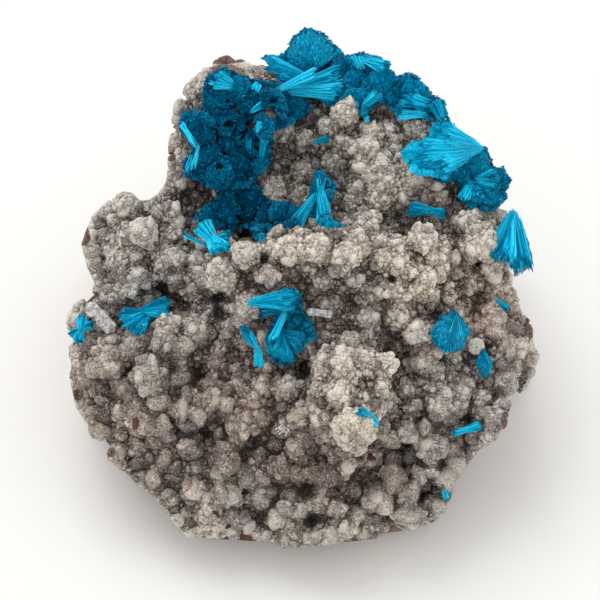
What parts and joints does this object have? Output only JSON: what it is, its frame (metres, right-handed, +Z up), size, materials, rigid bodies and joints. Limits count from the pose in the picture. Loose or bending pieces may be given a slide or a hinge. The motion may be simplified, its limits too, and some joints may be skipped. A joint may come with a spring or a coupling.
{
  "type": "cavansite crystal cluster",
  "caption": "Blue cavansite sprays grown on a knobbly grey zeolite crust over a broken piece of basalt, resting on a flat break.",
  "frame": {"origin": "on the surface the specimen rests on, under the middle of its bounding box", "axes": "+Z up, out of the surface it rests on; +X to the right as the display side is seen; -Y towards the viewer"},
  "size_m": [0.0916, 0.0886, 0.0633],
  "materials": {
    "basalt": null,
    "zeolite_crust": "rough zeolite druse, matte with small glints",
    "cavansite": "vitreous to silky blue crystal",
    "stilbite": "clear to milky crystal, pearly",
    "white_zeolite": "silky white needles"
  },
  "bodies": {
    "root": {"basalt_matrix": "basalt", "zeolite_crust": "zeolite_crust", "cavansite_crest_cluster": "cavansite", "cavansite_hollow_cluster": "cavansite", "cavansite_hollow_bow_tie": "cavansite", "cavansite_right_cluster": "cavansite", "cavansite_edge_sheaf": "cavansite", "cavansite_small_bow_tie": "cavansite", "cavansite_top_sliver": "cavansite", "cavansite_left_bow_tie": "cavansite", "cavansite_far_left_spray": "cavansite", "cavansite_centre_cluster": "cavansite", "cavansite_centre_side_bow_tie": "cavansite", "cavansite_right_fan": "cavansite", "cavansite_lower_right_fan": "cavansite", "cavansite_right_sliver": "cavansite", "cavansite_dome_streak": "cavansite", "cavansite_low_bow_tie": "cavansite", "cavansite_low_tuft": "cavansite", "stilbite_left_blade": "stilbite", "stilbite_centre_rod": "stilbite", "stilbite_right_blade": "stilbite", "stilbite_edge_splinter": "stilbite", "white_zeolite_ball": "white_zeolite"}
  },
  "joints": []
}
